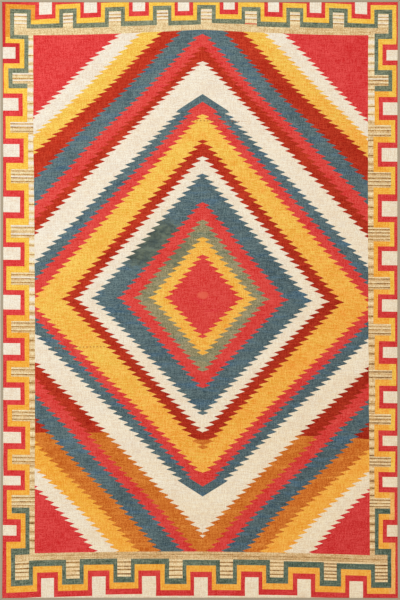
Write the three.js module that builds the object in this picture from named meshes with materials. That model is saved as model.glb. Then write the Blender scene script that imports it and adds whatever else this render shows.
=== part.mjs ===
// Flat-woven cotton rug, lying flat, with a tape binding sewn round its edge.
// Millimetres. +X is the rug's width to the right, +Y its length towards the head end, +Z up.
// The origin is the middle of the underside.

import * as THREE from 'three';

// Overall size
const RUG_WIDTH = 1220;
const RUG_LENGTH = 1829;

// Woven cloth
const CLOTH_THICKNESS = 3.4;

// Binding tape, folded round the cloth's edge
const TAPE_THICKNESS = 0.7;
const TAPE_FACE_WIDTH = 8.3;
const SEAM_GAP = 0.3;

// The cloth is pressed thinner where the tape holds it, and swells to full thickness beside it
const PINCHED_THICKNESS = 1.8;
const SWELL_WIDTH = 4;

// How far each hand-woven edge draws in between its two corners
const EDGE_DIP = { left: 3, right: 1.5, head: 1, foot: 1 };
const DIP_POWER = 4;

const STATIONS_PER_SIDE = 24;
const FOLD_STEPS = 6;

// Heights and radii that follow from the sizes above
const MARGIN_BOTTOM = TAPE_THICKNESS + SEAM_GAP;
const MARGIN_TOP = MARGIN_BOTTOM + PINCHED_THICKNESS;
const BOUND_HEIGHT = MARGIN_TOP + SEAM_GAP + TAPE_THICKNESS;
const FOLD_RADIUS = BOUND_HEIGHT / 2;
const FOLD_INNER_RADIUS = FOLD_RADIUS - TAPE_THICKNESS;
const CLOTH_EDGE_RADIUS = PINCHED_THICKNESS / 2;

const rugMaterial = new THREE.MeshStandardMaterial({ color: 0xc8523c, roughness: 0.95, metalness: 0 });
const tapeMaterial = new THREE.MeshStandardMaterial({ color: 0xb0a086, roughness: 0.9, metalness: 0 });

// The four sides, anticlockwise from the foot, each turned by quarter turns from the foot's place
const SIDES = [
  { name: 'foot', turn: 0, halfLength: RUG_WIDTH / 2, distance: RUG_LENGTH / 2 },
  { name: 'right', turn: 1, halfLength: RUG_LENGTH / 2, distance: RUG_WIDTH / 2 },
  { name: 'head', turn: 2, halfLength: RUG_WIDTH / 2, distance: RUG_LENGTH / 2 },
  { name: 'left', turn: 3, halfLength: RUG_LENGTH / 2, distance: RUG_WIDTH / 2 },
];

// A point of one side: along runs from -1 to 1 between the corners, inset is measured in from the outer edge.
function sidePoint(side, along, inset, height, endGap = 0) {
  const dip = EDGE_DIP[side.name] * (1 - Math.abs(along) ** DIP_POWER);
  const run = along * (side.halfLength - inset - endGap);
  const out = -(side.distance - inset - dip);
  const angle = (side.turn * Math.PI) / 2;
  return new THREE.Vector3(
    run * Math.cos(angle) - out * Math.sin(angle),
    run * Math.sin(angle) + out * Math.cos(angle),
    height,
  );
}

// Points of a half circle that opens inwards, from its underside round the outer edge to its top.
function foldArc(radius) {
  const arc = [];
  for (let step = 0; step <= FOLD_STEPS; step += 1) {
    const angle = -Math.PI / 2 + (Math.PI * step) / FOLD_STEPS;
    arc.push({ inset: FOLD_RADIUS - radius * Math.cos(angle), height: FOLD_RADIUS + radius * Math.sin(angle) });
  }
  return arc;
}

// The skin between closed rings of equal length; its two ends stay open.
function skinBetween(rings) {
  const positions = rings.flat().flatMap((point) => point.toArray());
  const count = rings[0].length;
  const triangles = [];
  for (let r = 0; r < rings.length - 1; r += 1) {
    for (let i = 0; i < count; i += 1) {
      const a = r * count + i;
      const b = r * count + ((i + 1) % count);
      triangles.push(a, b, b + count, a, b + count, a + count);
    }
  }
  return { positions, triangles, count };
}

function geometryFrom(positions, triangles) {
  const geometry = new THREE.BufferGeometry();
  geometry.setAttribute('position', new THREE.Float32BufferAttribute(positions, 3));
  geometry.setIndex(triangles);
  geometry.computeVertexNormals();
  return geometry;
}

// The cloth's edge from the flat underside, round the pinched margin, to the flat top.
function clothEdgeProfile() {
  const heldInset = TAPE_FACE_WIDTH + SEAM_GAP;
  return [
    { inset: heldInset + SWELL_WIDTH, height: 0 },
    { inset: heldInset, height: MARGIN_BOTTOM },
    ...foldArc(CLOTH_EDGE_RADIUS),
    { inset: heldInset, height: MARGIN_TOP },
    { inset: heldInset + SWELL_WIDTH, height: CLOTH_THICKNESS },
  ];
}

// The cloth: one solid whose rings run all the way round, closed by a flat underside and a flat top.
function clothGeometry() {
  const rings = clothEdgeProfile().map(({ inset, height }) =>
    SIDES.flatMap((side) =>
      Array.from({ length: STATIONS_PER_SIDE }, (_, station) =>
        sidePoint(side, (2 * station) / STATIONS_PER_SIDE - 1, inset, height),
      ),
    ),
  );
  const { positions, triangles, count } = skinBetween(rings);
  const underside = positions.length / 3;
  const top = underside + 1;
  const lastRing = (rings.length - 1) * count;
  positions.push(0, 0, 0, 0, 0, CLOTH_THICKNESS);
  for (let i = 0; i < count; i += 1) {
    const next = (i + 1) % count;
    triangles.push(underside, next, i, top, lastRing + i, lastRing + next);
  }
  return geometryFrom(positions, triangles);
}

// The tape's section: a strip folded round the edge, as one closed loop of an outer and an inner face.
function tapeSection() {
  const outer = [
    { inset: TAPE_FACE_WIDTH, height: BOUND_HEIGHT },
    ...foldArc(FOLD_RADIUS).reverse(),
    { inset: TAPE_FACE_WIDTH, height: 0 },
  ];
  const inner = [
    { inset: TAPE_FACE_WIDTH, height: TAPE_THICKNESS },
    ...foldArc(FOLD_INNER_RADIUS),
    { inset: TAPE_FACE_WIDTH, height: BOUND_HEIGHT - TAPE_THICKNESS },
  ];
  return { outer, inner };
}

// One strip of tape along a side, mitred at both corners.
function tapeGeometry(side) {
  const { outer, inner } = tapeSection();
  const section = [...outer, ...inner];
  const rings = Array.from({ length: STATIONS_PER_SIDE + 1 }, (_, station) => {
    const along = (2 * station) / STATIONS_PER_SIDE - 1;
    return section.map(({ inset, height }) => sidePoint(side, along, inset, height, SEAM_GAP));
  });
  const { positions, triangles, count } = skinBetween(rings);
  const lastRing = (rings.length - 1) * count;
  for (let i = 0; i < outer.length - 1; i += 1) {
    const facing = count - 1 - i;
    triangles.push(i, facing - 1, i + 1, i, facing, facing - 1);
    const [a, b, c, d] = [i, i + 1, facing - 1, facing].map((index) => lastRing + index);
    triangles.push(a, b, c, a, c, d);
  }
  return geometryFrom(positions, triangles);
}

function namedMesh(name, geometry, material) {
  const mesh = new THREE.Mesh(geometry, material);
  mesh.name = name;
  return mesh;
}

const rug = new THREE.Group();
rug.add(namedMesh('woven_cloth', clothGeometry(), rugMaterial));
for (const side of SIDES) {
  rug.add(namedMesh(`binding_${side.name}`, tapeGeometry(side), tapeMaterial.clone()));
}

export default rug;
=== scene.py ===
# Flat-woven cotton rug with serrated lozenges, lying on a pale floor, seen from straight above.
# The cloth is a mesh of yarn areas. Chart places are millimetres before the weft lines bow:
# x to the right, y towards the head end, from the middle of the rug.

import bisect
import math
import random

import bmesh
import bpy
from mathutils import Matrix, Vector, noise


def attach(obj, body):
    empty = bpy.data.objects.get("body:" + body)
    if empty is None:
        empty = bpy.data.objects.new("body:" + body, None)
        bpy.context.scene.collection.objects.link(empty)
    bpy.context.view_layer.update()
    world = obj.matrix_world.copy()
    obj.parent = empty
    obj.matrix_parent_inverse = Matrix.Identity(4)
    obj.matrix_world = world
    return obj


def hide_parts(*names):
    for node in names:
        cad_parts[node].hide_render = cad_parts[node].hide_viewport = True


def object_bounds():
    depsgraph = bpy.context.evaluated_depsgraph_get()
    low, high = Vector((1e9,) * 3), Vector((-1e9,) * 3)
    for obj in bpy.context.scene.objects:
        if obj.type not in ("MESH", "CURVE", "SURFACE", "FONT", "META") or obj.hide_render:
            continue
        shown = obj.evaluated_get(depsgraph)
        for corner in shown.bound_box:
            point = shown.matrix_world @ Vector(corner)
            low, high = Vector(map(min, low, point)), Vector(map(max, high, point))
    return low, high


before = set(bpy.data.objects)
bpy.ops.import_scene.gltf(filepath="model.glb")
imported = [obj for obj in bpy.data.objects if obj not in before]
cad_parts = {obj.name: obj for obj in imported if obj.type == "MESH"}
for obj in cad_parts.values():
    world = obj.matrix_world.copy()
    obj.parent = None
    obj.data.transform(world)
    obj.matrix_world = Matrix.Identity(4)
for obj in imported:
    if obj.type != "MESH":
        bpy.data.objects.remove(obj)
cad_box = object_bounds()

MM = 0.001
SEED = 11

# Cloth and tape, as the frame has them
CAD_LOW, CAD_HIGH = cad_box
HALF_WIDTH = CAD_HIGH.x / MM
HALF_LENGTH = CAD_HIGH.y / MM
CLOTH_TOP = 3.4
CLOTH_EDGE_INSET = 2.0
HELD_INSET = 8.6
SWELL_END = 12.6
HELD_BOTTOM = 1.0
HELD_TOP = 2.8
EDGE_DIP = {"left": 3.0, "right": 1.5, "head": 1.0, "foot": 1.0}
DIP_POWER = 4
DIP_FADE = 60.0
BOUND_TOP = 3.8
BOUND_BOTTOM = 0.0
TAPE_INNER = 8.3

# Sewing through the tape
STITCH_PITCH = 8.0
STITCH_LENGTH = 5.2
STITCH_INSET = 1.5
STITCH_LEAN = 0.25
# Places along a stitch as shares of its half length, and how thick it is there
STITCH_RINGS = ((-1, 0.25), (-0.5, 1), (0.5, 1), (1, 0.25))
# Section of a stitch: across, up
STITCH_SECTION = ((-0.3, -0.15), (0.3, -0.15), (0.22, 0.16), (-0.22, 0.16))

# Photograph: one pixel of its 400 by 600 is this many millimetres at the rug
PHOTO_PIXEL = 3.04
PHOTO_HEIGHT = 600
LENS = 85.0
SENSOR = 36.0

# Field, inside the border
FIELD_LEFT = -503.0
FIELD_RIGHT = 514.5
FIELD_FOOT = -773.0
FIELD_HEAD = 805.0
FIELD_MIDDLE = (FIELD_LEFT + FIELD_RIGHT) / 2
FIELD_HALF = (FIELD_RIGHT - FIELD_LEFT) / 2

# Weft lines bow up in the middle and tilt down to the right
BEAT = (
    # height, bow, how pointed the bow is, tilt
    (-915, 9, 0, 0),
    (-775, 8, 0, 3),
    (-360, 18, 0, 7),
    (0, 12, 0, 6),
    (470, 14, 0, 4),
    (660, 21, 0.4, 1),
    (805, 17, 1, 0),
    (840, 17, 0.2, 0),
    (915, 17, 0, 0),
)

# The field's upright edges wander: height, shift of the left edge, shift of the right edge
EDGE_SWAY = (
    (-805, 0, 2),
    (-450, 1, 0),
    (0, 1, -3),
    (300, -1, -4),
    (500, -4, -4),
    (810, -4, -3),
)
SWAY_INWARD = 70.0
SWAY_OUTWARD = 16.0
SWAY_PAST_END = 12.0
# Slope of the weft lines left of the field, past its ends
FOOT_LEAN = 0.055
HEAD_LEAN = -0.04
LEAN_FADE = 45.0

# Middle of the lozenges
LOZENGE_X = 8.0
LOZENGE_Y = -5.5
# Lozenges from the middle outwards, read off enlargements of the photograph
CLOSED_LOZENGES = (
    # yarn, reach of its tips to the left and right, reach of its apex to the head and foot
    ("red", 119, 127, 134, 122),
    ("yellow", 166, 167, 187, 178),
    ("sage", 212, 206, 239, 230),
    ("red", 262, 263, 292, 281),
    ("blue", 342, 337, 378, 361),
    ("cream", 391, 386, 429, 413),
    ("dark_red", 432, 431, 478, 462),
)
OPEN_LOZENGES = (
    # yarn, height where it meets the field's edge upper left, upper right, lower left and lower right,
    # then for the head and the foot the reach of its apex or the two places where it meets the field's end
    ("yellow", 6, -3, -20, -26, 555, 538),
    ("red", 61, 46, -55, -67, 590, 574),
    ("blue", 112, 100, -102, -120, 613, 604),
    ("cream", 199, 191, -188, -205, 710, 711),
    ("dark_red", 243, 236, -237, -255, 753, (-9, 21)),
    ("red", 289, 295, -290, -307, 796, (-49, 67)),
    ("blue", 368, 359, -359, -374, (-52, 67), (-120, 131)),
    ("dark_red", 442, 432, -429, -450, (-111, 127), (-185, 184)),
    ("yellow", 496, 486, -505, -517, (-175, 190), (-249, 256)),
    ("cream", 556, 541, -568, -578, (-237, 250), (-313, 333)),
)
LOZENGE_YARNS = [row[0] for row in CLOSED_LOZENGES + OPEN_LOZENGES]
# The line of a lozenge's tips meets the middle line this far past its apex
APEX_TO_TIPS = 15.0
# Lozenge number and quarter: how far its side swells out.
# Quarters are 1 upper left, 2 upper right, 3 lower left and 4 lower right.
SWELL = {
    (10, 1): 11, (12, 1): 5, (13, 1): -3, (14, 1): -8, (16, 1): 8,
    (12, 2): -13, (13, 2): -14, (14, 2): -12,
}
CORNER_YARN = "crimson"
# Outer lozenges swing out and in again along their sides
SWINGING = 11
SWING = 5.0
SWING_FROM = 400.0
SWING_SPAN = 320.0
# Lozenge number: fall of its plain apex for each mm out, and half width of that apex
PLAIN_APEXES = {8: (0.6, 46), 9: (0.62, 82)}
# A lozenge counts as closed this close to where it closes
CLOSED_WITHIN = 0.01
# Lozenge number and whether it is at the head end: reach of one small tooth past the apex
LAST_TOOTH = {(10, False): 9.0}
LAST_TOOTH_LENGTH = 14.0
# Lozenge number: where its yarn is another dye lot below a height
OTHER_LOT_BELOW = {15: (0, "amber")}
# Lozenge number: where its dark red gives way to orange, left and right
ORANGE_BELOW = {6: (-441, -441), 11: (-416.5, -420), 14: (-410.5, -417)}

# Serration: tooth number, distance from the middle
TEETH_UP = ((0, 0), (27, 474), (45, 734), (52, 854))
TEETH_DOWN = ((0, 0), (28, 474), (52, 868))
TOOTH_DEPTH = 21.5
TOOTH_NOTCH = 0.34
TOOTH_JITTER = 0.9
TIP_JITTER = 0.6

# Border: steps along each side as start, end and depth in from the rug's outer edge, read off
# enlargements of the photograph, and line widths
BORDER = {
    "left": dict(
        merlons=(
            (769, 734, 49), (614, 576, 58), (474, 435, 61), (313, 267, 63), (161, 122, 64), (15, -29, 64),
            (-131, -166, 64), (-267, -304, 64), (-401, -436, 66), (-535, -564, 65), (-684, -716, 52),
        ),
        towers=(
            (930, 806, 45), (690, 658, 40), (541, 509, 33), (398, 355, 35), (228, 190, 35), (84, 46, 35),
            (-64, -99, 36), (-204, -233, 36), (-334, -368, 39), (-470, -499, 39), (-593, -631, 37),
            (-775, -930, 48),
        ),
        red=13, yellow=14, teal=12.5,
    ),
    "right": dict(
        merlons=(
            (760, 728, 43), (600, 562, 54), (462, 421, 57), (301, 254, 57), (148, 106, 57), (2, -35, 57),
            (-143, -176, 54), (-278, -313, 53), (-413, -444, 55), (-538, -568, 55), (-684, -719, 42),
        ),
        towers=(
            (930, 810, 37), (684, 651, 37), (532, 496, 29), (389, 342, 29), (220, 178, 32), (70, 32, 32),
            (-73, -108, 29), (-213, -242, 26), (-347, -379, 29), (-477, -508, 29), (-602, -634, 31),
            (-775, -930, 40),
        ),
        red=12.5, yellow=12.5, teal=11.5,
    ),
    "head": dict(
        merlons=(
            (-489, -450, 46), (-353, -313, 42), (-205, -167, 36), (-67, -33, 36), (71, 105, 31),
            (207, 240, 39), (334, 369, 42), (471, 508, 45),
        ),
        towers=(
            (-630, -526, 42), (-416, -386, 42), (-277, -240, 37), (-131, -97, 33), (3, 36, 30),
            (137, 173, 37), (274, 304, 40), (404, 438, 41), (541, 630, 45),
        ),
        red=14.5, yellow=14, teal=13,
    ),
    "foot": dict(
        merlons=(
            (-483, -444, 69), (-328, -287, 74), (-176, -134, 75), (-18, 24, 71), (137, 178, 72),
            (296, 337, 66), (454, 496, 60),
        ),
        towers=(
            (-630, -520, 62), (-407, -366, 68), (-251, -210, 74), (-94, -53, 69), (61, 100, 69),
            (213, 254, 71), (377, 416, 62), (532, 630, 57),
        ),
        red=17.5, yellow=18.5, teal=18,
    ),
}
BORDER_YARNS = ("cream", "crimson", "lemon", "teal", "ecru")

# Where a line of the border is another dye lot: the line's yarn, left, right, low, high, the lot
DYE_LOTS = (
    ("crimson", -630, -545, 720, 930, "garnet"),
    ("lemon", -630, -545, 797, 930, "ochre"),
    ("lemon", -545, -489, 850, 930, "ochre"),
    ("lemon", -630, 0, -930, -36, "amber"),
    ("lemon", 575, 630, -520, 645, "lemon"),
    ("lemon", 575, 630, -930, -520, "peach"),
    ("lemon", 0, 575, -930, 645, "amber"),
)
# Columns where one lot gives way to another
LOT_COLUMNS = (-545, 0, 575)
# Heights past which the ecru of the end towers is paler
PALE_ABOVE = 829.0
PALE_BELOW = -796.0

# Runs of other wefts in the ecru of the border
LINE_WIDTH = 3.5
FOOT_LINE_WIDTH = 4.2
BAND_LINE_WIDTH = 2.4
RED_WEFT_WIDTH = 2.6
# Half a run as a share of its width: least, most
HALF_SHARES = (0.42, 0.56)
# How far a line strays, as a share of the pitch, and a plain stretch's middle
LINE_STRAY = 0.1
MIDDLE_STRAY = 5.0
CREAM_SHARE = 0.6
# Room between the lines of an end tower and its paler ecru, and its teal line
CLEAR_OF_PALE = 2.0
CLEAR_OF_TEAL = 3.0
LINE_PITCH = {"left": 11.8, "right": 11.8, "head": 12.0, "foot": 12.0}
BROWN_SHARE = {"left": 0.85, "right": 0.9, "head": 0.5, "foot": 0.7}
LIGHT_ABOVE = {"left": -40.0, "right": 560.0}
CREAM_BESIDE = 4.3
DASH_WIDTH = 4.2
PLAIN_GAP = (3.5, 7)
# Runs in a plain stretch: yarn, shortest, longest
PLAIN_RUNS = (("cream", 8, 14), ("tan", 3, 6), ("cream", 6, 12), ("tan", 3, 5), ("cream", 5, 9))
FOOT_BAND_LINES = (
    (-777, -330, -190), (-781, -500, 120), (-784, 230, 470), (-786, 60, 560), (-789, -420, -60),
    (-793, 180, 500), (-794, -500, -330),
)
RED_WEFT = (827, 136, 173)

# Mesh
VERTEX_MERGE = 0.4
LEVEL_MERGE = 0.7
# The chart runs on this far past the rug's edge, where it is trimmed
PAST_EDGE = 20.0
WIDEST_CELL = 90.0
WIDEST_OVER_BEND = 15.0
TALLEST_STRIP = 24.0
# Unevenness of the hand-woven cloth across and along
WOBBLE_ACROSS = 0.9
WOBBLE_ALONG = 0.35


def between(table, value, column=1):
    """Linear look-up in a table whose first column is sorted."""
    keys = [row[0] for row in table]
    i = min(max(bisect.bisect_right(keys, value) - 1, 0), len(keys) - 2)
    before, after = table[i], table[i + 1]
    share = (value - before[0]) / (after[0] - before[0])
    return before[column] + (after[column] - before[column]) * share


def sway(x, y):
    """Sideways shift near the field's upright edges, gone just past its ends."""
    past_end = max(y - FIELD_HEAD, FIELD_FOOT - y, 0)
    height = min(max(y, EDGE_SWAY[0][0]), EDGE_SWAY[-1][0])
    shift = 0
    for column, edge, inward in ((1, FIELD_LEFT, x - FIELD_LEFT), (2, FIELD_RIGHT, FIELD_RIGHT - x)):
        span = SWAY_INWARD if inward > 0 else SWAY_OUTWARD
        near = max(0, 1 - abs(x - edge) / span)
        shift += near * between(EDGE_SWAY, height, column)
    return shift * max(0, 1 - past_end / SWAY_PAST_END)


def lean(x, y):
    """Rise or fall of the weft lines in the two left corners."""
    foot_share = min(max((FIELD_FOOT + LEAN_FADE - y) / LEAN_FADE, 0), 1)
    head_share = min(max((y - FIELD_HEAD + LEAN_FADE) / LEAN_FADE, 0), 1)
    slope = FOOT_LEAN * foot_share + HEAD_LEAN * head_share
    return slope * min(x - FIELD_LEFT, 0)


def bowed(x, y):
    """Where a chart place lies once the weft lines bow and tilt."""
    u = (x - FIELD_MIDDLE) / FIELD_HALF
    out = min(abs(u), 1)
    bow, pointed, tilt = (between(BEAT, y, column) for column in (1, 2, 3))
    drop = pointed * math.sin(math.pi * out / 2) + (1 - pointed) * out ** 2
    return x + sway(x, y), y + bow * (1 - drop) - tilt * u + lean(x, y)


def chart_height(x, height):
    """Where a height seen at the rug lies in the chart."""
    y = height
    for _ in range(4):
        y += height - bowed(x, y)[1]
    return y


# Border

def charted_step(side, start, end, depth):
    """A step of the border as places in the chart, from places seen at the rug."""
    if side in ("left", "right"):
        middle = (-HALF_WIDTH + FIELD_LEFT) / 2 if side == "left" else (FIELD_RIGHT + HALF_WIDTH) / 2
        return chart_height(middle, start), chart_height(middle, end), depth
    sign = 1 if side == "head" else -1
    seen = sign * (HALF_LENGTH - depth)
    return start, end, HALF_LENGTH - sign * chart_height((start + end) / 2, seen)


def ringed(side, kind, index, count):
    """Whether the teal line goes round this step: everywhere at the ends, near the corners at the sides."""
    if side in ("head", "foot"):
        return True
    if kind == "merlon":
        return index in (0, count - 1)
    return index in (0, 1, count - 1)


def side_zones(side):
    """Stretches along one side: start, end, and how far in its cream, red, yellow and teal end."""
    ledger = BORDER[side]
    red, yellow, teal = ledger["red"], ledger["yellow"], ledger["teal"]
    steps = []
    for kind in ("merlon", "tower"):
        rows = ledger[kind + "s"]
        for index, row in enumerate(rows):
            start, end, depth = charted_step(side, *row)
            line = teal if ringed(side, kind, index, len(rows)) else 0
            if kind == "merlon":
                ends = (depth, depth + red, depth + red + yellow, depth + red + yellow + line)
            else:
                ends = (depth - line - yellow - red, depth - line - yellow, depth - line, depth)
            steps.append((min(start, end), max(start, end), kind, ends, line > 0))
    steps.sort()
    zones = []
    for here, after in zip(steps, steps[1:]):
        zones.append((here[0], here[1], here[3], here[2]))
        lines = 3 if here[4] or after[4] else 2
        width = (after[0] - here[1]) / lines
        merlon, tower = (here, after) if here[2] == "merlon" else (after, here)
        for k in range(lines):
            line = k if merlon is here else lines - 1 - k
            ends = tower[3][:line + 1] + merlon[3][line + 1:]
            zones.append((here[1] + k * width, here[1] + (k + 1) * width, ends, "line"))
    last = steps[-1]
    zones.append((last[0], last[1], last[3], last[2]))
    return zones


ZONES = {side: side_zones(side) for side in BORDER}


def zone_at(side, along):
    for zone in ZONES[side]:
        if zone[0] <= along < zone[1]:
            return zone
    return None


def steps_passed(side, along, inset):
    """How many of one side's lines lie outside this place: 0 in the cream, 4 past them all."""
    zone = zone_at(side, along)
    return sum(inset > end for end in zone[2]) if zone else 4


def border_yarn(x, y, runs):
    passed = min(
        steps_passed("left", y, x + HALF_WIDTH),
        steps_passed("right", y, HALF_WIDTH - x),
        steps_passed("head", x, HALF_LENGTH - y),
        steps_passed("foot", x, y + HALF_LENGTH),
    )
    yarn = BORDER_YARNS[passed]
    for line, left, right, low, high, lot in DYE_LOTS:
        if yarn == line and left <= x < right and low <= y < high:
            return lot
    if yarn == "ecru":
        for low, high, left, right, run in runs:
            if low <= y < high and left <= x < right:
                return run
        light_above = LIGHT_ABOVE["left" if x < 0 else "right"]
        if light_above < y < FIELD_HEAD or y > PALE_ABOVE or y < PALE_BELOW:
            return "pale"
    return yarn


def weft_runs(rng):
    """Runs of other wefts in the border's ecru, as low, high, left, right, yarn."""
    runs = []

    def line(place, left, right, yarn, width=LINE_WIDTH):
        half = width * rng.uniform(*HALF_SHARES)
        runs.append((place - half, place + half, left, right, yarn))

    def lines(start, end, left, right, side):
        count = max(round(abs(end - start) / LINE_PITCH[side]), 1)
        for k in range(count):
            yarn = "brown" if rng.random() < BROWN_SHARE[side] else "tan"
            place = start + (end - start) * (k + 0.5 + rng.uniform(-LINE_STRAY, LINE_STRAY)) / count
            line(place, left, right, yarn, FOOT_LINE_WIDTH if side == "foot" else LINE_WIDTH)
            beside = place + (LINE_WIDTH + CREAM_BESIDE) / 2
            if side in ("left", "right"):
                lightest = "cream" if place > LIGHT_ABOVE[side] and rng.random() < CREAM_SHARE else "pale"
                line(beside, left, right, lightest, CREAM_BESIDE)
            elif side == "head":
                line(beside, left, right, "cream", CREAM_BESIDE)

    def plain_stretch(low, high, left, right, side):
        middle = (low + high) / 2 + rng.uniform(-MIDDLE_STRAY, MIDDLE_STRAY)
        line(middle, left, right, "brown", DASH_WIDTH)
        for sign, room in ((-1, middle - low), (1, high - middle)):
            reach = DASH_WIDTH / 2
            for yarn, shortest, longest in PLAIN_RUNS:
                reach += rng.uniform(*PLAIN_GAP)
                length = rng.uniform(shortest, longest)
                if reach + length > room:
                    break
                ends = sorted((middle + sign * reach, middle + sign * (reach + length)))
                if middle < LIGHT_ABOVE[side]:
                    yarn = {"cream": "pale", "tan": "brown"}[yarn]
                runs.append((*ends, left, right, yarn))
                reach += length

    for side, left, right in (("left", -HALF_WIDTH, FIELD_LEFT), ("right", FIELD_RIGHT, HALF_WIDTH)):
        towers = [zone for zone in ZONES[side] if zone[3] == "tower"]
        for low, high, *_ in towers[1:-1]:
            lines(low, high, left, right, side)
            runs.append((low, high, left, right, "ecru"))
        for below, above in zip(towers, towers[1:]):
            plain_stretch(below[1], above[0], left, right, side)
    for start, end, ends, kind in ZONES["head"]:
        if kind == "tower":
            lines(PALE_ABOVE + CLEAR_OF_PALE, HALF_LENGTH - ends[3] - CLEAR_OF_TEAL, start, end, "head")
    for start, end, ends, kind in ZONES["foot"]:
        if kind == "tower":
            lines(PALE_BELOW - CLEAR_OF_PALE, ends[3] + CLEAR_OF_TEAL - HALF_LENGTH, start, end, "foot")
    for place, left, right in FOOT_BAND_LINES:
        line(place, left, right, "tan", BAND_LINE_WIDTH)
    line(*RED_WEFT, "crimson", RED_WEFT_WIDTH)
    return runs


# Field

def tooth_levels(rng):
    """Heights of the serration's tips and notches, with how deep the notch is there."""
    levels = []
    for table, sign in ((TEETH_UP, 1), (TEETH_DOWN, -1)):
        count = table[-1][0]
        tips = [between(table, k) + (rng.uniform(-TIP_JITTER, TIP_JITTER) if k else 0) for k in range(count)]
        for tip, after in zip(tips, tips[1:]):
            levels.append((LOZENGE_Y + sign * tip, 0.0))
            levels.append((LOZENGE_Y + sign * (after - TOOTH_NOTCH * (after - tip)), TOOTH_DEPTH))
    return sorted(set(levels))


def plain_apex(number, upper):
    """How far along an open lozenge's apex is."""
    return OPEN_LOZENGES[number - len(CLOSED_LOZENGES)][5 if upper else 6]


def tip_line(number, quarter):
    """Two places on the line of one quarter's tips, each as how far out and how far along."""
    upper, left = quarter < 3, quarter % 2 == 1
    if number < len(CLOSED_LOZENGES):
        reaches = CLOSED_LOZENGES[number][1:]
        return (reaches[0 if left else 1], 0), (0, reaches[2 if upper else 3] + APEX_TO_TIPS)
    row = OPEN_LOZENGES[number - len(CLOSED_LOZENGES)]
    edge = FIELD_LEFT if left else FIELD_RIGHT
    at_edge = (abs(edge - LOZENGE_X) + TOOTH_DEPTH / 2, abs(chart_height(edge, row[quarter]) - LOZENGE_Y))
    ending = row[5 if upper else 6]
    if number in PLAIN_APEXES:
        fall, half_width = PLAIN_APEXES[number]
        return at_edge, (half_width, ending - fall * half_width)
    if isinstance(ending, tuple):
        field_end = FIELD_HEAD if upper else FIELD_FOOT
        out = abs(ending[0 if left else 1] - LOZENGE_X) + TOOTH_DEPTH / 2
        return at_edge, (out, abs(field_end - LOZENGE_Y))
    return at_edge, (0, ending + APEX_TO_TIPS)


TIP_LINES = {
    (number, quarter): tip_line(number, quarter)
    for number in range(len(LOZENGE_YARNS)) for quarter in (1, 2, 3, 4)
}


def lozenge_reach(number, quarter, rise):
    """How far out the tips of one lozenge's edge are, at a rise from the middle."""
    (out, low), (end_out, high) = TIP_LINES[number, quarter]
    share = (rise - low) / (high - low)
    reach = out + (end_out - out) * share + 4 * SWELL.get((number, quarter), 0) * share * (1 - share)
    if number >= SWINGING and rise > SWING_FROM:
        reach += SWING * math.sin(2 * math.pi * (rise - SWING_FROM) / SWING_SPAN)
    return reach


def closing_rises(teeth):
    """Rise at which each quarter of a lozenge closes: where its last long edge meets the middle line."""
    closings = {}
    for number in range(len(LOZENGE_YARNS)):
        for quarter in (1, 2, 3, 4):
            if number in PLAIN_APEXES:
                closings[number, quarter] = plain_apex(number, quarter < 3)
                continue
            sign = 1 if quarter < 3 else -1
            levels = [(sign * (y - LOZENGE_Y), depth) for y, depth in teeth]
            levels = sorted(level for level in levels if level[0] >= 0)
            closings[number, quarter] = levels[-1][0]
            left = [lozenge_reach(number, quarter, rise) - depth for rise, depth in levels]
            for k in range(1, len(levels)):
                if left[k] <= 0:
                    share = left[k - 1] / (left[k - 1] - left[k])
                    closings[number, quarter] = levels[k - 1][0] + share * (levels[k][0] - levels[k - 1][0])
                    break
    return closings


def lozenge_places(y, depth, side, jitter, closings):
    """Places of all lozenge edges at one height on one side, measured out from the middle."""
    rise = abs(y - LOZENGE_Y)
    upper = y >= LOZENGE_Y
    quarter = (1 if upper else 3) + (0 if side < 0 else 1)
    places = []
    nearest = 0.0
    for number in range(len(LOZENGE_YARNS)):
        tips = lozenge_reach(number, quarter, rise)
        place = tips - depth + jitter[number]
        if number in PLAIN_APEXES:
            fall, half_width = PLAIN_APEXES[number]
            plain = (plain_apex(number, upper) - rise) / fall
            if plain < half_width:
                place = min(tips, plain)
        closing = closings[number, quarter]
        if rise > closing - CLOSED_WITHIN:
            twin = quarter - side
            if rise < closings[number, twin] - CLOSED_WITHIN:
                place = lozenge_reach(number, twin, rise) - depth
            elif (number, upper) in LAST_TOOTH and rise < closing + LAST_TOOTH_LENGTH:
                place = max(LAST_TOOTH[number, upper] - depth, 0)
            else:
                place = 0.0
        nearest = max(place, nearest)
        places.append(nearest)
    return places


def field_yarn(number, y, side):
    yarn = LOZENGE_YARNS[number] if number < len(LOZENGE_YARNS) else CORNER_YARN
    if yarn == "dark_red":
        change = ORANGE_BELOW[number][0 if side < 0 else 1]
        return "orange" if y < change else yarn
    if number in OTHER_LOT_BELOW and y < OTHER_LOT_BELOW[number][0]:
        return OTHER_LOT_BELOW[number][1]
    return yarn


# Strips of the chart

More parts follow.
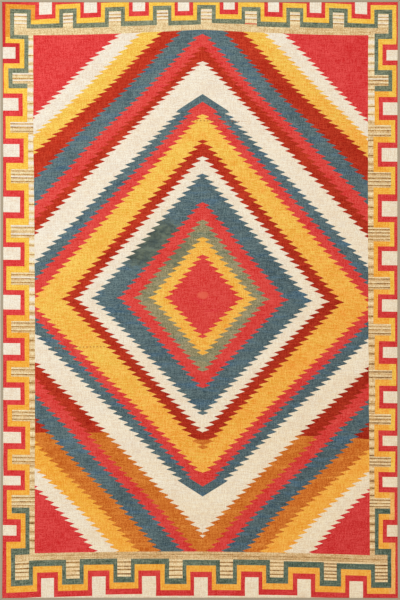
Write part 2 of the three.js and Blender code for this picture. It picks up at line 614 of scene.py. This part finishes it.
def chart_levels(teeth, runs, closings):
    """All heights where something in the chart changes. Of close ones the one with the least rank stays."""
    wanted = [(y, 2) for y, depth in teeth if FIELD_FOOT < y < FIELD_HEAD]
    for (number, quarter), rise in closings.items():
        wanted.append((LOZENGE_Y + (rise if quarter < 3 else -rise), 2.5))
    for number, (fall, half_width) in PLAIN_APEXES.items():
        wanted.append((LOZENGE_Y + plain_apex(number, True) - fall * half_width, 2))
        wanted.append((LOZENGE_Y - plain_apex(number, False) + fall * half_width, 2))
    wanted += [(change, 2) for changes in ORANGE_BELOW.values() for change in changes]
    wanted += [(y, 1) for lot in DYE_LOTS for y in lot[3:5] if abs(y) < HALF_LENGTH]
    wanted += [(FIELD_FOOT, 0), (FIELD_HEAD, 0), (PALE_ABOVE, 1), (PALE_BELOW, 1)]
    for side in ("left", "right"):
        wanted += [(place, 3) for zone in ZONES[side] for place in zone[:2]]
    for side, sign in (("head", 1), ("foot", -1)):
        wanted += [(sign * (HALF_LENGTH - end), 3) for zone in ZONES[side] for end in zone[2]]
    wanted += [(place, 1) for run in runs for place in run[:2]]
    edge = HALF_LENGTH + PAST_EDGE
    wanted += [(-edge, 0), (edge, 0)]
    kept = []
    for y, rank in sorted(wanted, key=lambda pair: (pair[1], pair[0])):
        i = bisect.bisect_left(kept, y)
        near = [kept[j] for j in (i - 1, i) if 0 <= j < len(kept)]
        if abs(y) <= edge and all(abs(y - other) > LEVEL_MERGE for other in near):
            kept.insert(i, y)
    filled = [kept[0]]
    for y in kept[1:]:
        parts = math.ceil((y - filled[-1]) / TALLEST_STRIP)
        start = filled[-1]
        filled += [start + (y - start) * k / parts for k in range(1, parts + 1)]
    return filled


def field_posts(low, high, teeth, jitters, closings):
    """Field posts of one strip: place at its lower edge, place at its upper edge, yarn to the right."""
    middle = (low + high) / 2
    count = len(LOZENGE_YARNS)
    posts = []
    for side in (-1, 1):
        limit = LOZENGE_X - FIELD_LEFT if side < 0 else FIELD_RIGHT - LOZENGE_X
        rows = []
        for y in (low, high):
            places = lozenge_places(y, between(teeth, y), side, jitters[(y, side)], closings)
            rows.append([LOZENGE_X + side * min(place, limit) for place in places + [limit]])
        for number in range(count, -1, -1) if side < 0 else range(count + 1):
            area = number if side < 0 else number + 1
            yarn = field_yarn(area, middle, side) if area <= count else None
            posts.append((rows[0][number], rows[1][number], yarn))
    return posts


def border_places(middle):
    """Places of the upright posts of a strip of the border, from the strip's middle height."""
    edge = HALF_WIDTH + PAST_EDGE
    places = {-edge, edge, FIELD_LEFT, FIELD_RIGHT, *LOT_COLUMNS}
    for side, sign in (("left", 1), ("right", -1)):
        zone = zone_at(side, middle)
        places |= {sign * (end - HALF_WIDTH) for end in zone[2]} if zone else set()
    if middle > FIELD_HEAD:
        places |= {place for zone in ZONES["head"] for place in zone[:2]}
    if middle < FIELD_FOOT:
        places |= {place for zone in ZONES["foot"] for place in zone[:2]}
    return sorted(place for place in places if abs(place) <= edge)


def strip_cells(low, high, teeth, jitters, runs, closings):
    """Cells of one strip: left post, right post and yarn, where a post is its lower and upper place."""
    middle = (low + high) / 2
    in_field = FIELD_FOOT < middle < FIELD_HEAD
    places = border_places(middle)
    cells = []
    for left, right in zip(places, places[1:]):
        if in_field and left == FIELD_LEFT:
            posts = field_posts(low, high, teeth, jitters, closings)
            for post, after in zip(posts, posts[1:]):
                cells.append((post[:2], after[:2], post[2]))
        elif not (in_field and FIELD_LEFT < (left + right) / 2 < FIELD_RIGHT):
            yarn = border_yarn((left + right) / 2, middle, runs)
            cells.append([(left, left), (right, right), yarn])
    joined = []
    for left, right, yarn in cells:
        narrow = max(right[0] - left[0], right[1] - left[1]) < VERTEX_MERGE
        if joined and (narrow or joined[-1][2] == yarn):
            joined[-1][1] = right
        elif not narrow:
            joined.append([left, right, yarn])
    split = []
    for left, right, yarn in joined:
        width = max(right[0] - left[0], right[1] - left[1])
        over_bend = any(left[0] < bend < right[0] for bend in (FIELD_LEFT, FIELD_MIDDLE))
        parts = math.ceil(width / (WIDEST_OVER_BEND if over_bend else WIDEST_CELL))
        cuts = [
            (left[0] + (right[0] - left[0]) * k / parts, left[1] + (right[1] - left[1]) * k / parts)
            for k in range(parts + 1)
        ]
        split += [(cuts[k], cuts[k + 1], yarn) for k in range(parts)]
    return split


class Level:
    """The vertices along one height of the chart."""

    def __init__(self, y, places):
        self.y = y
        self.places = []
        for place in sorted(places):
            if not self.places or place - self.places[-1] > VERTEX_MERGE:
                self.places.append(place)
        self.first = 0

    def index(self, place):
        i = bisect.bisect_left(self.places, place)
        if i == len(self.places) or (i and place - self.places[i - 1] < self.places[i] - place):
            i -= 1
        return i


def zipped(lower, upper, i0, i1, j0, j1):
    """Triangles between two rows of vertices, anticlockwise from above."""
    triangles = []
    i, j = i0, j0
    lower_span = max(lower.places[i1] - lower.places[i0], 1e-6)
    upper_span = max(upper.places[j1] - upper.places[j0], 1e-6)
    while i < i1 or j < j1:
        along_lower = (lower.places[i + 1] - lower.places[i0]) / lower_span if i < i1 else math.inf
        along_upper = (upper.places[j + 1] - upper.places[j0]) / upper_span if j < j1 else math.inf
        if along_lower <= along_upper:
            triangles.append((lower.first + i, lower.first + i + 1, upper.first + j))
            i += 1
        else:
            triangles.append((lower.first + i, upper.first + j + 1, upper.first + j))
            j += 1
    return triangles


def chart_mesh():
    """Vertices as chart places, and triangles with their yarns."""
    rng = random.Random(SEED)
    teeth = tooth_levels(rng)
    runs = weft_runs(rng)
    closings = closing_rises(teeth)
    heights = chart_levels(teeth, runs, closings)
    count = len(LOZENGE_YARNS)
    jitters = {}
    for y in heights:
        for side in (-1, 1):
            jitters[(y, side)] = [rng.uniform(-TOOTH_JITTER, TOOTH_JITTER) for _ in range(count)]
    strips = [strip_cells(a, b, teeth, jitters, runs, closings) for a, b in zip(heights, heights[1:])]
    levels = []
    for k, y in enumerate(heights):
        places = [post[0] for cell in (strips[k] if k < len(strips) else []) for post in cell[:2]]
        places += [post[1] for cell in (strips[k - 1] if k else []) for post in cell[:2]]
        levels.append(Level(y, places))
    total = 0
    for level in levels:
        level.first = total
        total += len(level.places)
    points = [(x, level.y) for level in levels for x in level.places]
    triangles = []
    for k, cells in enumerate(strips):
        lower, upper = levels[k], levels[k + 1]
        for left, right, yarn in cells:
            ends = (lower.index(left[0]), lower.index(right[0]), upper.index(left[1]), upper.index(right[1]))
            triangles += [(corners, yarn) for corners in zipped(lower, upper, *ends)]
    return points, triangles


def mesh_object(name, bm, materials):
    """An object in the scene, made from a finished bmesh."""
    mesh = bpy.data.meshes.new(name)
    bm.to_mesh(mesh)
    bm.free()
    for material in materials:
        mesh.materials.append(material)
    made = bpy.data.objects.new(name, mesh)
    bpy.context.scene.collection.objects.link(made)
    return made


# Cloth

def edge_dip(side, along):
    return EDGE_DIP[side] * (1 - min(abs(along), 1) ** DIP_POWER)


def fade(inset):
    """1 in the bound edge, falling to 0 well inside the cloth."""
    share = min(max((inset - SWELL_END) / DIP_FADE, 0), 1)
    return 1 - share * share * (3 - 2 * share)


def drawn_in(x, y):
    """How far the hand-woven edges draw a place in."""
    along_y, along_x = y / HALF_LENGTH, x / HALF_WIDTH
    move_x = edge_dip("left", along_y) * fade(x + HALF_WIDTH)
    move_x -= edge_dip("right", along_y) * fade(HALF_WIDTH - x)
    move_y = edge_dip("foot", along_x) * fade(y + HALF_LENGTH)
    move_y -= edge_dip("head", along_x) * fade(HALF_LENGTH - y)
    return move_x, move_y


def sheet_height(inset, top):
    share = min(max((inset - HELD_INSET) / (SWELL_END - HELD_INSET), 0), 1)
    held, free = (HELD_TOP, CLOTH_TOP) if top else (HELD_BOTTOM, 0.0)
    return held + (free - held) * share


def wobble(x, y):
    """Slow unevenness of a hand-woven cloth, gentler along it so that no thin run of wefts folds over."""
    spot = Vector((x / 45, y / 45, 3.7))
    slow_spot = Vector((x / 110, y / 60, 5.7))
    return WOBBLE_ACROSS * noise.noise(spot), WOBBLE_ALONG * noise.noise(slow_spot)


def cut_straight(bm, distance_x, distance_y, trim):
    for normal, distance in (((1, 0, 0), distance_x), ((-1, 0, 0), distance_x),
                             ((0, 1, 0), distance_y), ((0, -1, 0), distance_y)):
        bmesh.ops.bisect_plane(
            bm,
            geom=bm.verts[:] + bm.edges[:] + bm.faces[:],
            dist=1e-4,
            plane_co=Vector(normal) * distance,
            plane_no=normal,
            clear_outer=trim,
        )


def build_cloth(yarns):
    points, triangles = chart_mesh()
    bm = bmesh.new()
    chart = bm.verts.layers.float_vector.new("chart")
    for x, y in points:
        real_x, real_y = (seen + shift for seen, shift in zip(bowed(x, y), wobble(x, y)))
        move = drawn_in(real_x, real_y)
        vertex = bm.verts.new((real_x - move[0], real_y - move[1], 0))
        vertex[chart] = (x * MM, y * MM, 0)
    bm.verts.ensure_lookup_table()
    order = {name: k for k, name in enumerate(yarns)}
    for corners, yarn in triangles:
        if len(set(corners)) == 3:
            face = bm.faces.new([bm.verts[i] for i in corners])
            face.material_index = order[yarn]
            face.smooth = True
    for inset in (CLOTH_EDGE_INSET, HELD_INSET, SWELL_END):
        cut_straight(bm, HALF_WIDTH - inset, HALF_LENGTH - inset, inset == CLOTH_EDGE_INSET)
    loose = [vertex for vertex in bm.verts if not vertex.link_faces]
    bmesh.ops.delete(bm, geom=loose, context="VERTS")
    bmesh.ops.triangulate(bm, faces=bm.faces[:])
    insets = {}
    for vertex in bm.verts:
        x, y = vertex.co.x, vertex.co.y
        insets[vertex] = min(HALF_WIDTH - abs(x), HALF_LENGTH - abs(y))
        move = drawn_in(x, y)
        vertex.co.x, vertex.co.y = x + move[0], y + move[1]
    rim = [(edge.verts[0], edge.verts[1], edge.link_faces[0]) for edge in bm.edges if edge.is_boundary]
    upper_faces = bm.faces[:]
    copy = bmesh.ops.duplicate(bm, geom=bm.verts[:] + bm.edges[:] + upper_faces)
    twin = copy["vert_map"]
    under = [item for item in copy["geom"] if isinstance(item, bmesh.types.BMFace)]
    bmesh.ops.reverse_faces(bm, faces=under)
    for vertex, inset in insets.items():
        vertex.co.z = sheet_height(inset, True)
        twin[vertex].co.z = sheet_height(inset, False)
    for first, second, face in rim:
        corners = [loop.vert for loop in face.loops]
        k = corners.index(first)
        if corners[(k + 1) % 3] is not second:
            first, second = second, first
        wall = bm.faces.new((second, first, twin[first], twin[second]))
        wall.material_index = face.material_index
    bmesh.ops.triangulate(bm, faces=[face for face in bm.faces if len(face.verts) > 3])
    bmesh.ops.scale(bm, vec=(MM, MM, MM), verts=bm.verts[:])
    return mesh_object("flatweave", bm, yarns.values())


# Materials

def linear(channel):
    share = channel / 255
    return share / 12.92 if share <= 0.04045 else ((share + 0.055) / 1.055) ** 2.4


def colour(rgb):
    return (*[linear(channel) for channel in rgb], 1.0)


class Nodes:
    """Short calls that add and link shader nodes."""

    def __init__(self, name):
        self.material = bpy.data.materials.new(name)
        self.material.use_nodes = True
        self.tree = self.material.node_tree
        self.shader = self.tree.nodes["Principled BSDF"]

    def add(self, kind, **settings):
        node = self.tree.nodes.new(kind)
        for key, value in settings.items():
            setattr(node, key, value)
        return node

    def link(self, source, target):
        self.tree.links.new(source, target)

    def put(self, socket, value):
        if isinstance(value, bpy.types.NodeSocket):
            self.link(value, socket)
        else:
            socket.default_value = value

    def math(self, operation, first, second=0.0, third=0.0, clamp=False):
        node = self.add("ShaderNodeMath", operation=operation, use_clamp=clamp)
        for socket, value in zip(node.inputs, (first, second, third)):
            self.put(socket, value)
        return node.outputs[0]

    def mix(self, share, first, second, blend="MIX"):
        node = self.add("ShaderNodeMix", data_type="RGBA", blend_type=blend)
        self.put(node.inputs["Factor"], share)
        self.put(node.inputs[6], first)
        self.put(node.inputs[7], second)
        return node.outputs[2]

    def place(self, attribute=None):
        if attribute:
            return self.add("ShaderNodeAttribute", attribute_name=attribute).outputs["Vector"]
        return self.add("ShaderNodeTexCoord").outputs["Object"]

    def feed(self, node, **inputs):
        """Set or link inputs of a node by name, with _ for a space."""
        for name, value in inputs.items():
            self.put(node.inputs[name.replace("_", " ")], value)
        return node

    def mapped(self, place, scale, offset):
        return self.feed(self.add("ShaderNodeMapping"), Vector=place, Scale=scale, Location=offset).outputs[0]

    def noise(self, place, scale, detail=2.0, offset=(0, 0, 0), roughness=0.5):
        node = self.add("ShaderNodeTexNoise", noise_dimensions="3D")
        place = self.mapped(place, scale, offset)
        self.feed(node, Vector=place, Scale=1.0, Detail=detail, Roughness=roughness)
        return node.outputs["Fac"]

    def bump(self, height, strength, distance):
        node = self.feed(self.add("ShaderNodeBump"), Height=height, Strength=strength, Distance=distance)
        self.feed(self.shader, Normal=node.outputs[0])

    def varied(self, value, *changes, clamp=False):
        """A value changed up and down by textures around 0.5, each given with its amount."""
        for k, (texture, amount) in enumerate(changes, 1):
            change = self.math("MULTIPLY", self.math("SUBTRACT", texture, 0.5), amount * 2)
            value = self.math("ADD", value, change, clamp=clamp and k == len(changes))
        return value


# Blend from each yarn's head-left colour to its foot-right colour, per metre across and along: partly painted
# shade, darker towards the foot right where the light falls off, and partly the yarn's own shift of dye
SHADE_AND_DYE_ACROSS = 0.36
SHADE_AND_DYE_ALONG = 0.31
WARP_PITCH = 0.0032
PICK_PITCH = 0.0011
RELIEF = 0.0004
# Dull and bright fibres are this many times the spread darker and lighter
CONTRAST = 2
# Stains: middle across and along, half width, half length, how ragged its edge is; darker and lighter tone
BLUE_STAIN = ((-148, 165, 104, 80, 0.4), (60, 68, 60), (112, 120, 98))
SAGE_STAIN = ((-95, 150, 60, 60, 0.8), (88, 98, 82), (122, 124, 96))
CORE_SPOT = ((9, 2, 17, 11, 0.5), (228, 98, 76), (232, 106, 82))
# Picks that show as rows of darker dots: height, left, right
DOTTED_PICKS = ((529, -62, 128), (-155, -440, -285))
DOT_PITCH = 0.0105
DOT_HALF_HEIGHT = 1.8
DOT_STRENGTH = 0.6
DOT_RGB = (150, 84, 50)


def weave_relief(nodes, x, y):
    """Ribs over the warps, with the wefts beaten down across them, half a step apart on each rib."""
    rib = nodes.math("ABSOLUTE", nodes.math("SINE", nodes.math("MULTIPLY", x, math.pi / WARP_PITCH)))
    number = nodes.math("FLOOR", nodes.math("DIVIDE", x, WARP_PITCH))
    phase = nodes.math("MULTIPLY", number, math.pi / 2)
    pick = nodes.math("SINE", nodes.math("MULTIPLY_ADD", y, math.pi / PICK_PITCH, phase))
    pick = nodes.math("ABSOLUTE", pick)
    return nodes.math("MULTIPLY", nodes.math("POWER", rib, 0.6), nodes.math("MULTIPLY_ADD", pick, 0.45, 0.55))


def lighter(rgb, spread, amount):
    return colour([min(max(channel + amount * change, 2), 253) for channel, change in zip(rgb, spread)])


def spot_share(nodes, place, spot):
    """1 inside a soft-edged oval of the chart, falling to 0 outside it."""
    left, foot, half_width, half_length, ragged = spot
    scale = (1 / (half_width * MM), 1 / (half_length * MM), 0)
    length = nodes.add("ShaderNodeVectorMath", operation="LENGTH")
    nodes.link(nodes.mapped(place, scale, (-left / half_width, -foot / half_length, 0)), length.inputs[0])
    far = nodes.varied(length.outputs["Value"], (nodes.noise(place, (60, 110, 1), 3), ragged))
    return nodes.math("MULTIPLY_ADD", far, -2.5, 3.0, clamp=True)


def dotted_picks(nodes, x, y):
    """How far the rows of dark dots show at a place."""
    dots = nodes.math("SINE", nodes.math("MULTIPLY", x, 2 * math.pi / DOT_PITCH))
    dots = nodes.math("MULTIPLY_ADD", dots, 1.5, 0.3, clamp=True)
    shown = 0.0
    for height, left, right in DOTTED_PICKS:
        row = nodes.math("COMPARE", y, height * MM, DOT_HALF_HEIGHT * MM)
        span = nodes.math("COMPARE", x, (left + right) / 2 * MM, (right - left) / 2 * MM)
        shown = nodes.math("ADD", nodes.math("MULTIPLY", row, span), shown)
    return nodes.math("MULTIPLY", nodes.math("MULTIPLY", dots, shown), DOT_STRENGTH)


def yarn_material(name, head_rgb, foot_rgb, spread, mottle=1.0, drift=None, stain=None):
    """A dyed weft: a blend from the head-left to the foot-right corner that is partly painted shade and
    partly a shift of dye, abrash, heathered streaks and flecks, wear and woven relief.
    """
    nodes = Nodes(name)
    place = nodes.place("chart")
    parts = nodes.add("ShaderNodeSeparateXYZ")
    nodes.link(place, parts.inputs[0])
    x, y = parts.outputs[0], parts.outputs[1]
    shift = (sum(head_rgb) % 17, sum(foot_rgb) % 13, 0)
    dye = nodes.noise(place, (2.5, 13, 1), 3, shift)
    wear = nodes.noise(place, (11, 14, 1), 3, shift)
    streak = nodes.noise(place, (34, 250, 1), 2, shift)
    hue = nodes.noise(place, (45, 190, 4), 2, shift)
    fleck = nodes.noise(place, (290, 330, 1), 1, shift)
    column = nodes.noise(place, (320, 45, 1), 1, shift)
    tone = nodes.varied(0.5, (fleck, 1.2), (column, 0.7), (streak, 0.7), (wear, 0.35), clamp=True)
    # Share of the foot-right colour: painted shade darkening towards the foot right, together with a real
    # shift of dye
    share = nodes.math("MULTIPLY_ADD", x, SHADE_AND_DYE_ACROSS, 0.5)
    share = nodes.math("MULTIPLY_ADD", y, -SHADE_AND_DYE_ALONG, share)
    share = nodes.varied(share, (dye, 0.35), (hue, 0.6 * mottle), clamp=True)
    dull, bright = (
        nodes.mix(share, lighter(head_rgb, spread, way), lighter(foot_rgb, spread, way))
        for way in (-CONTRAST, CONTRAST)
    )
    if drift:
        other, threshold = drift
        patch = nodes.noise(place, (7, 42, 1), 4, (3.3, 5.1, 0), 0.7)
        share = nodes.math("MULTIPLY", nodes.math("SUBTRACT", patch, threshold), 6, clamp=True)
        dull = nodes.mix(share, dull, lighter(other, spread, -CONTRAST))
        bright = nodes.mix(share, bright, lighter(other, spread, CONTRAST))
    if stain:
        spot, dark, light = stain
        share = spot_share(nodes, place, spot)
        cloud = nodes.noise(place, (30, 60, 1), 3, (1.7, 2.9, 0), 0.6)
        blotch = nodes.math("MULTIPLY_ADD", cloud, 4, -1.5, clamp=True)
        stained = nodes.mix(blotch, colour(dark), colour(light))
        dull = nodes.mix(share, dull, nodes.mix(0.2, stained, dull))
        bright = nodes.mix(share, bright, nodes.mix(0.3, stained, bright))
    dyed = nodes.mix(tone, dull, bright)
    dyed = nodes.mix(dotted_picks(nodes, x, y), dyed, colour(DOT_RGB))
    nodes.bump(weave_relief(nodes, x, y), 0.6, RELIEF)
    rough = nodes.math("MULTIPLY_ADD", fleck, 0.12, 0.84)
    nodes.feed(nodes.shader, Base_Color=dyed, Roughness=rough, Specular_IOR_Level=0.1)
    return nodes.material


def yarn_materials():
    """Each yarn: colours in the head left and foot right corners, whose difference is partly painted shade
    and partly a shift of dye, fibre spread, mottle, drift and stain.
    """
    dyes = {
        "red": ((224, 70, 64), (210, 56, 50), (6, 12, 11), 1.0, ((216, 50, 58), 0.57), CORE_SPOT),
        "crimson": ((223, 61, 61), (209, 54, 52), (7, 12, 11)),
        "garnet": ((202, 46, 48), (202, 46, 48), (7, 9, 9)),
        "yellow": ((240, 200, 86), (243, 154, 54), (5, 11, 13)),
        "lemon": ((244, 194, 72), (246, 188, 74), (5, 11, 12)),
        "amber": ((240, 174, 52), (248, 169, 67), (5, 12, 12)),
        "peach": ((244, 176, 92), (244, 176, 92), (6, 10, 12)),
        "ochre": ((228, 149, 48), (228, 149, 48), (7, 12, 12)),
        "sage": ((150, 140, 102), (141, 133, 100), (14, 12, 12), 1.6, ((112, 126, 106), 0.52), SAGE_STAIN),
        "blue": ((96, 118, 122), (72, 88, 92), (12, 12, 11), 1.2, ((76, 106, 126), 0.5), BLUE_STAIN),
        "cream": ((237, 227, 211), (240, 219, 185), (5, 8, 9)),
        "dark_red": ((197, 54, 31), (152, 31, 12), (9, 10, 8)),
        "orange": ((206, 112, 36), (203, 106, 35), (10, 13, 10), 1.6, ((216, 128, 48), 0.5)),
        "teal": ((124, 131, 106), (78, 96, 81), (16, 15, 14), 1.6, ((84, 112, 112), 0.6)),
        "ecru": ((224, 197, 146), (214, 171, 116), (11, 15, 17), 1.6),
        "pale": ((238, 216, 170), (240, 202, 151), (10, 13, 15), 1.6),
        "brown": ((194, 143, 75), (140, 95, 46), (20, 23, 22), 1.8),
        "tan": ((218, 180, 122), (178, 134, 80), (15, 17, 17), 1.8),
    }
    return {name: yarn_material("yarn_" + name, *dye) for name, dye in dyes.items()}


def tape_material():
    nodes = Nodes("khaki_tape")
    place = nodes.place()
    fleck = nodes.noise(place, (900, 900, 900), 2)
    wear = nodes.noise(place, (22, 22, 22), 3)
    tone = nodes.varied(1.0, (fleck, 0.16), (wear, 0.12))
    grey = nodes.add("ShaderNodeCombineColor")
    for socket in grey.inputs[:3]:
        nodes.link(tone, socket)
    dyed = nodes.mix(wear, colour((178, 163, 138)), colour((163, 149, 126)))
    shade = nodes.mix(1.0, dyed, grey.outputs[0], "MULTIPLY")
    nodes.bump(nodes.noise(place, (1400, 1400, 1400), 1), 0.5, 0.0003)
    nodes.feed(nodes.shader, Base_Color=shade, Roughness=nodes.math("MULTIPLY_ADD", fleck, 0.12, 0.82))
    return nodes.material


def floor_material():
    nodes = Nodes("pale_floor")
    place = nodes.place()
    tone = nodes.noise(place, (3, 3, 3), 3)
    shade = nodes.mix(tone, colour((226, 222, 215)), colour((219, 215, 208)))
    nodes.feed(nodes.shader, Base_Color=shade, Roughness=0.8)
    return nodes.material


# Sewing along the tape

def stitch_path():
    """Points along the line of stitches and the way the line runs there, in mm, anticlockwise."""
    out = TAPE_INNER - STITCH_INSET
    stitches = []
    for side, sign in (("foot", -1), ("right", 1), ("head", 1), ("left", -1)):
        upright = side in ("left", "right")
        far, across = (HALF_LENGTH, HALF_WIDTH) if upright else (HALF_WIDTH, HALF_LENGTH)
        count = round(2 * (far - out) / STITCH_PITCH)
        for k in range(count):
            along = (k + 0.5) / count * 2 - 1
            run = along * (far - out)
            depth = across - out - edge_dip(side, run / far)
            if upright:
                stitches.append((sign * depth, run * sign, 0, sign))
            else:
                stitches.append((run * -sign, sign * depth, -sign, 0))
    return stitches


def build_stitches(thread):
    """Short stitches of thick thread, half sunk in the tape's two faces."""
    bm = bmesh.new()
    rng = random.Random(SEED)
    half = STITCH_LENGTH / 2
    for x, y, way_x, way_y in stitch_path():
        for height, up in ((BOUND_TOP, 1), (BOUND_BOTTOM, -1)):
            lean = rng.uniform(-STITCH_LEAN, STITCH_LEAN)
            rings = []
            for share, size in STITCH_RINGS:
                along = half * share
                ring = []
                for across, rise in STITCH_SECTION:
                    side = across * size + lean * along / half
                    place = (x + way_x * along - way_y * side, y + way_y * along + way_x * side)
                    ring.append(bm.verts.new((*place, height + up * rise * size)))
                rings.append(ring)
            for ring, after in zip(rings, rings[1:]):
                for k in range(4):
                    bm.faces.new((ring[k], ring[(k + 1) % 4], after[(k + 1) % 4], after[k]))
            bm.faces.new(rings[0][::-1])
            bm.faces.new(rings[-1])
    bmesh.ops.recalc_face_normals(bm, faces=bm.faces[:])
    bmesh.ops.triangulate(bm, faces=bm.faces[:])
    bmesh.ops.scale(bm, vec=(MM, MM, MM), verts=bm.verts[:])
    return mesh_object("stitches", bm, [thread])


def thread_material():
    nodes = Nodes("khaki_thread")
    place = nodes.place()
    twist = nodes.noise(place, (2600, 2600, 2600), 1)
    wear = nodes.noise(place, (30, 30, 30), 2)
    shade = nodes.mix(wear, colour((150, 137, 112)), colour((134, 121, 98)))
    shade = nodes.mix(nodes.math("MULTIPLY", twist, 0.5), shade, colour((168, 154, 128)))
    nodes.bump(twist, 0.4, 0.0001)
    nodes.feed(nodes.shader, Base_Color=shade, Roughness=nodes.math("MULTIPLY_ADD", twist, 0.15, 0.7))
    return nodes.material


# Surroundings

FLOOR_HALF = 7
FLOOR_DROP = 0.0004


def plain_floor():
    bm = bmesh.new()
    bmesh.ops.create_grid(bm, x_segments=8, y_segments=8, size=FLOOR_HALF)
    floor = mesh_object("floor", bm, [floor_material()])
    floor.location.z = -FLOOR_DROP
    return floor


def studio_light():
    world = bpy.data.worlds.new("studio")
    world.use_nodes = True
    background = world.node_tree.nodes["Background"]
    background.inputs["Color"].default_value = (1.0, 0.99, 0.97, 1)
    background.inputs["Strength"].default_value = 0.73
    bpy.context.scene.view_settings.view_transform = "Standard"
    bpy.context.scene.world = world
    lamp = bpy.data.lights.new("softbox", "AREA")
    lamp.shape = "RECTANGLE"
    lamp.size = 3.2
    lamp.size_y = 3.2
    lamp.energy = 112
    lamp.color = (1.0, 0.985, 0.955)
    softbox = bpy.data.objects.new("softbox", lamp)
    softbox.location = (-2.6, 2.4, 3.6)
    softbox.rotation_euler = (-softbox.location).to_track_quat("-Z", "Y").to_euler()
    bpy.context.scene.collection.objects.link(softbox)


def camera_above():
    data = bpy.data.cameras.new("camera")
    data.lens = LENS
    data.sensor_width = SENSOR
    seen = PHOTO_HEIGHT * PHOTO_PIXEL * MM
    camera = bpy.data.objects.new("camera", data)
    camera.location = (0, 0, CLOTH_TOP * MM + seen * LENS / SENSOR)
    bpy.context.scene.collection.objects.link(camera)
    bpy.context.scene.camera = camera


camera_above()
studio_light()
floor = plain_floor()

cloth = build_cloth(yarn_materials())
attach(cloth, "root")
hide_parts("woven_cloth")

tape = tape_material()
bindings = [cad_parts["binding_" + side] for side in ("foot", "right", "head", "left")]
for binding in bindings:
    binding.data.materials.clear()
    binding.data.materials.append(tape)

stitches = build_stitches(thread_material())
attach(stitches, "root")

print("flatweave triangles", len(cloth.data.polygons))
